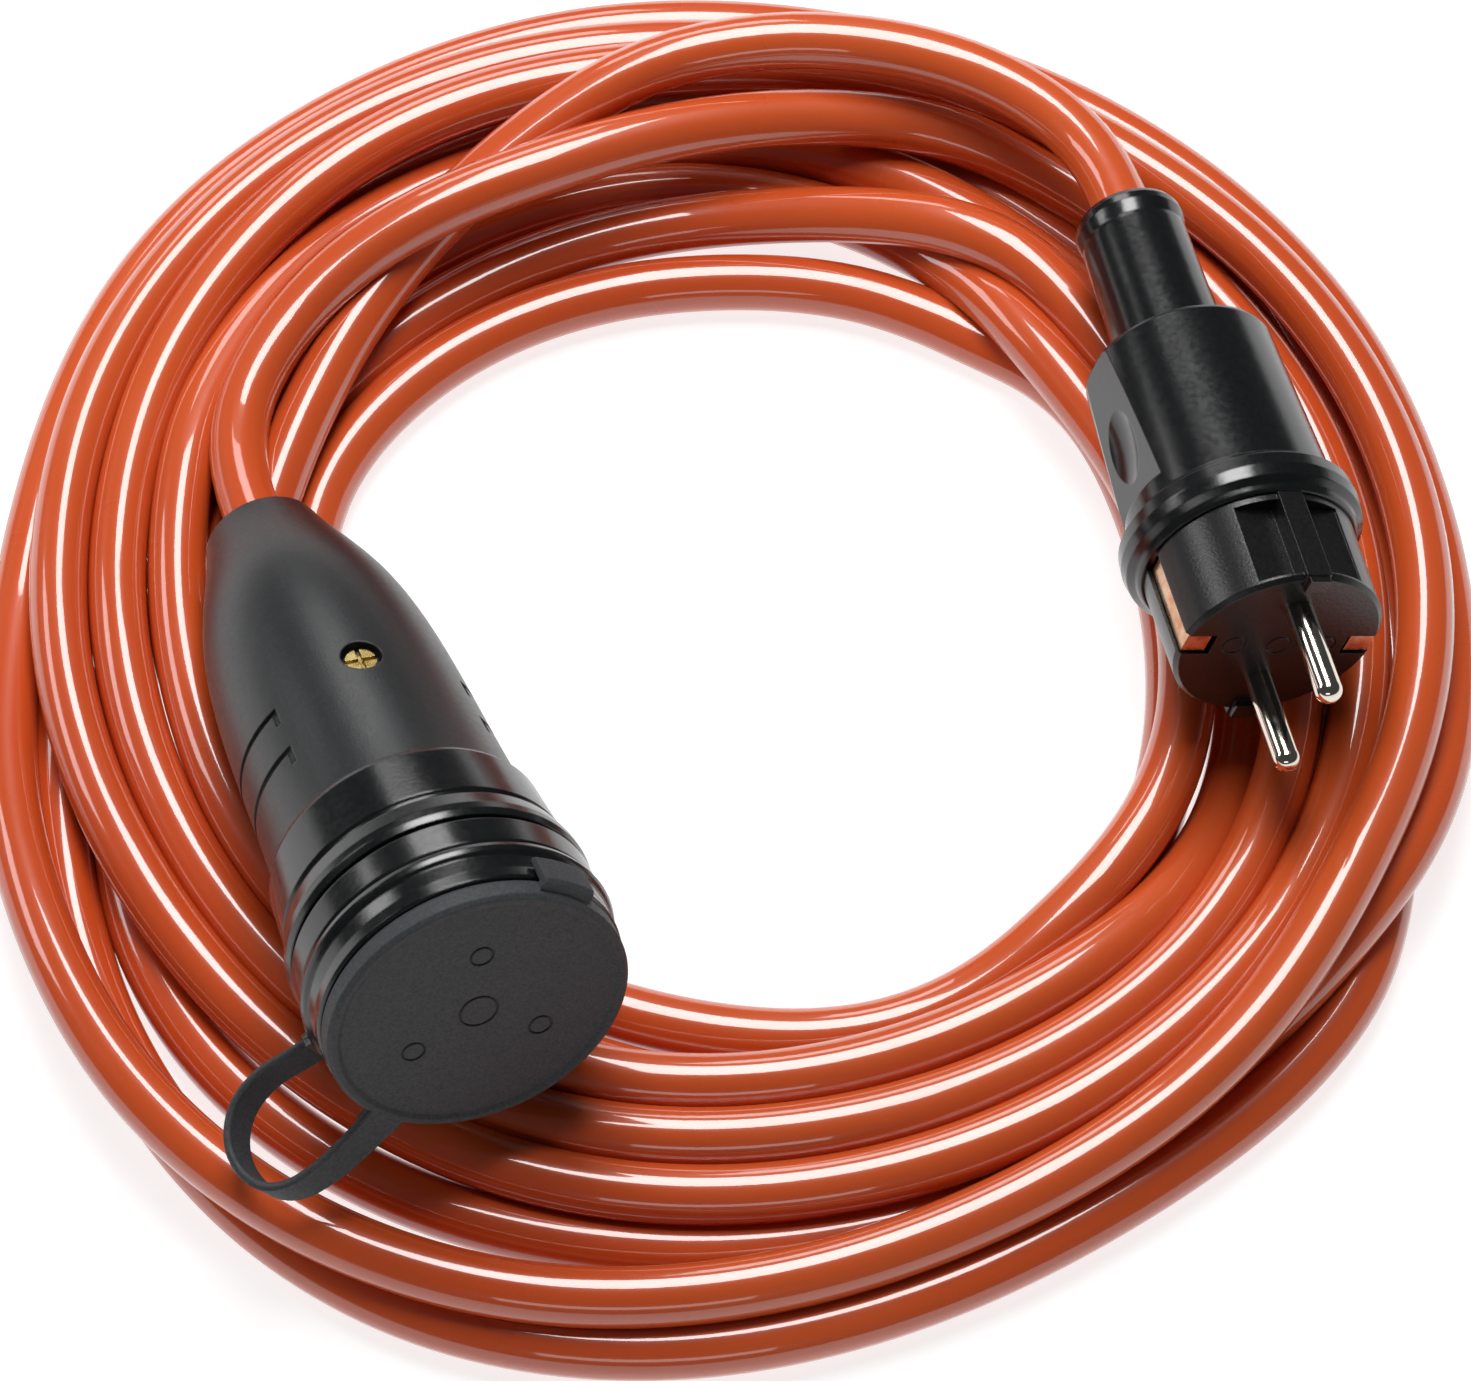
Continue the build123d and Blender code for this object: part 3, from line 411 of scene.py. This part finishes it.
def gloss_black():
    s = Surface("gloss_black", linear(15, 17, 18), 0.2, Specular_IOR_Level=0.7)
    s.soft_edges(0.0005)
    s.colour_between(s.noise(1200, 3), linear(13, 15, 16), linear(18, 20, 21))
    s.roughness_between(s.noise(900, 3), 0.17, 0.23)
    s.bump(s.noise(1500, 3), 0.00002, 0.4)
    return s.material


def satin_black():
    s = Surface("satin_black", linear(24, 26, 28), 0.36, Specular_IOR_Level=0.65)
    s.soft_edges(0.0005)
    s.colour_between(s.noise(1600, 3), linear(20, 22, 24), linear(29, 31, 33))
    s.roughness_between(s.noise(1100, 3), 0.33, 0.4)
    s.bump(s.noise(2600, 3), 0.00005, 0.55)
    return s.material


def insulator_black():
    s = Surface("insulator_black", linear(18, 18, 19), 0.3, Specular_IOR_Level=0.55)
    s.soft_edges(0.0003)
    s.colour_between(s.noise(1300, 3), linear(14, 14, 15), linear(23, 23, 24))
    s.bump(s.noise(1800, 4), 0.00007, 0.6)
    return s.material


def cap_rubber():
    s = Surface("cap_rubber", linear(54, 57, 60), 0.6, Specular_IOR_Level=0.4)
    s.soft_edges(0.0005)
    s.colour_between(s.noise(1900, 3), linear(47, 50, 53), linear(61, 63, 66))
    s.roughness_between(s.noise(1200, 3), 0.54, 0.68)
    s.bump(s.noise(3000, 3), 0.00008, 0.7)
    return s.material


def nickel():
    s = Surface("nickel", linear(222, 216, 204), 0.1, Metallic=1.0)
    s.roughness_between(s.noise(400, 3, stretch=(1, 1, 6)), 0.07, 0.15)
    return s.material


def tinned_copper():
    s = Surface("tinned_copper", linear(214, 160, 124), 0.3, Metallic=1.0)
    s.colour_between(s.noise(220, 3), linear(200, 140, 104), linear(230, 198, 168))
    s.roughness_between(s.noise(500, 3), 0.22, 0.4)
    return s.material


def zinc_screw(name, low, high):
    s = Surface(name, linear(*high), 0.28, Metallic=1.0)
    s.soft_edges(0.0002)
    s.colour_between(s.noise(500, 3), linear(*low), linear(*high))
    s.roughness_between(s.noise(900, 3), 0.2, 0.36)
    return s.material


def moulded(name, colour, roughness=0.5):
    s = Surface(name, linear(*colour), roughness)
    darker = tuple(v * 0.88 for v in colour)
    s.colour_between(s.noise(80, 3), linear(*darker), linear(*colour))
    s.bump(s.noise(1800, 3), 0.00005, 0.5)
    return s.material


MATERIALS = {
    "cord_sheath": cable_sheath(),
    "hood_black_gloss": gloss_black(),
    "coupling_black": satin_black(),
    "insert_black": insulator_black(),
    "carrier_grey": moulded("carrier_grey", (140, 143, 146)),
    "cap_rubber": cap_rubber(),
    "pin_nickel": nickel(),
    "contact_brass": zinc_screw("contact_brass", (176, 138, 66), (200, 164, 92)),
    "earth_copper": tinned_copper(),
    "screw_steel": zinc_screw("screw_steel", (140, 140, 138), (172, 172, 170)),
    "screw_brass": zinc_screw("screw_brass", (170, 142, 78), (214, 190, 128)),
    "core_brown": moulded("core_brown", (90, 54, 32)),
    "core_blue": moulded("core_blue", (45, 95, 168)),
    "core_earth": moulded("core_earth", (127, 154, 46)),
}


def paint(piece, material):
    """One material over the whole piece."""
    piece.data.materials.clear()
    piece.data.materials.append(material)


for part in frame["record"]["subparts"]:
    node = frame["nodes"][part["node"]]
    for place in node.material_slots:
        place.material = MATERIALS[part["material_slot"]]
    if not node.material_slots:
        node.data.materials.append(MATERIALS[part["material_slot"]])

# The collar and the ring on it are glossier than the rest of the coupling and its cap.
for name in ("coupling_collar", "tether_ring"):
    for place in frame["nodes"][name].material_slots:
        place.material = MATERIALS["hood_black_gloss"]

# ---- The cable ---------------------------------------------------------------------------------------------
cord_points = cord_route()
cord, cord_length = add_cord(cord_points)
paint(cord, MATERIALS["cord_sheath"])
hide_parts("cord_coil", "plug_lead", "coupling_lead")
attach(cord, "cord")
print(f"cable length {cord_length:.3f} m, {len(cord_points)} control points")


# ---- The strap that holds the cap -----------------------------------------------------------------------------
# Distance from the coupling's axis, z, and direction round the axis in degrees, along the loop.
STRAP_LINE = [
    (26.5, -15.5, 207), (31.0, -15.7, 207), (38.0, -17.0, 207), (45.0, -15.2, 208), (49.3, -9.5, 210),
    (49.0, -2.6, 213), (44.8, 0.9, 216), (38.0, 0.8, 219), (31.5, -0.5, 222), (28.0, -0.9, 223), (24.6, -0.9, 223),
]
STRAP_WIDTH, STRAP_T = 6.0, 1.5
CAP_WIDTH = 7.4  # the strap widens where it joins the cap


def strap_section(width, thickness, corner=0.45):
    """Outline of the strap, flat with eased corners."""
    w, t = width / 2, thickness / 2
    return [(w - corner, -t), (w, corner - t), (w, t - corner), (w - corner, t),
            (corner - w, t), (-w, t - corner), (-w, corner - t), (corner - w, -t)]


def round_axis(angle):
    """Direction out of the coupling's axis, and the one that follows it round, at an angle in degrees."""
    turn = radians(angle)
    out = COUPLING.x * cos(turn) + COUPLING.y * sin(turn)
    return out, np.cross(COUPLING.z, out)


def add_strap():
    """A ribbon swept along its loop as a closed mesh."""
    control = [COUPLING.nose + round_axis(a)[0] * reach + COUPLING.z * z for reach, z, a in STRAP_LINE]
    line = even_points(spline_points(control, 10), 1.0)
    mesh = bmesh.new()
    rings = []
    for number, centre in enumerate(line):
        before, after = line[max(0, number - 1)], line[min(len(line) - 1, number + 1)]
        share = number / (len(line) - 1)
        side = round_axis(207 + 16 * share)[1]
        tangent = (after - before) / np.linalg.norm(after - before)
        face = np.cross(side, tangent)
        face /= np.linalg.norm(face)
        width = STRAP_WIDTH + (CAP_WIDTH - STRAP_WIDTH) * max(0.0, share - 0.6) / 0.4
        section = strap_section(width, STRAP_T)
        rings.append([mesh.verts.new((centre + side * a + face * b) * MM) for a, b in section])
    for low, high in zip(rings, rings[1:]):
        for k in range(len(low)):
            mesh.faces.new((low[k], low[(k + 1) % len(low)], high[(k + 1) % len(low)], high[k]))
    mesh.faces.new(reversed(rings[0]))
    mesh.faces.new(rings[-1])
    bmesh.ops.recalc_face_normals(mesh, faces=mesh.faces)
    data = bpy.data.meshes.new("cap_strap")
    mesh.to_mesh(data)
    mesh.free()
    strap = bpy.data.objects.new("cap_strap", data)
    bpy.context.scene.collection.objects.link(strap)
    return strap


strap = add_strap()
paint(strap, MATERIALS["cap_rubber"])
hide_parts("tether_strap")
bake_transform(strap)


# ---- Floor and lights --------------------------------------------------------------------------------------------
def add_floor():
    mesh = bmesh.new()
    bmesh.ops.create_grid(mesh, x_segments=2, y_segments=2, size=3.0)
    data = bpy.data.meshes.new("floor")
    mesh.to_mesh(data)
    mesh.free()
    floor = bpy.data.objects.new("floor", data)
    bpy.context.scene.collection.objects.link(floor)
    surface = Surface("floor", (0.35, 0.35, 0.35, 1), 0.9)
    surface.shader.inputs["Specular IOR Level"].default_value = 0.1
    surface.shader.inputs["Emission Color"].default_value = (1, 1, 1, 1)
    surface.shader.inputs["Emission Strength"].default_value = 0.8
    paint(floor, surface.material)


def add_area(name, place, target, size, power, colour=(1, 1, 1)):
    data = bpy.data.lights.new(name, "AREA")
    data.shape = "RECTANGLE"
    data.size, data.size_y = size
    data.energy = power
    data.color = colour
    light = bpy.data.objects.new(name, data)
    bpy.context.scene.collection.objects.link(light)
    light.location = place
    light.rotation_euler = (Vector(target) - Vector(place)).to_track_quat("-Z", "Y").to_euler()


def add_world(colour, strength):
    world = bpy.data.worlds.new("studio")
    bpy.context.scene.world = world
    world.use_nodes = True
    background = world.node_tree.nodes["Background"]
    background.inputs["Color"].default_value = (*colour, 1)
    background.inputs["Strength"].default_value = strength


add_floor()
add_world((1.0, 1.0, 1.0), 0.06)
add_area("overhead", (0.0, 0.42, 1.1), (0, 0.42, 0), (0.48, 0.8), 14)
add_area("back_box", (-0.3, 1.1, 0.75), (0, 0, 0.03), (0.5, 0.35), 2.6)
add_area("left_box", (-0.95, 0.35, 0.6), (-0.05, -0.03, 0.04), (0.5, 0.3), 2.2)
add_area("front_box", (0.0, -1.15, 0.45), (0, -0.02, 0.03), (0.6, 0.2), 0.8)
bpy.context.scene.view_settings.view_transform = "Standard"
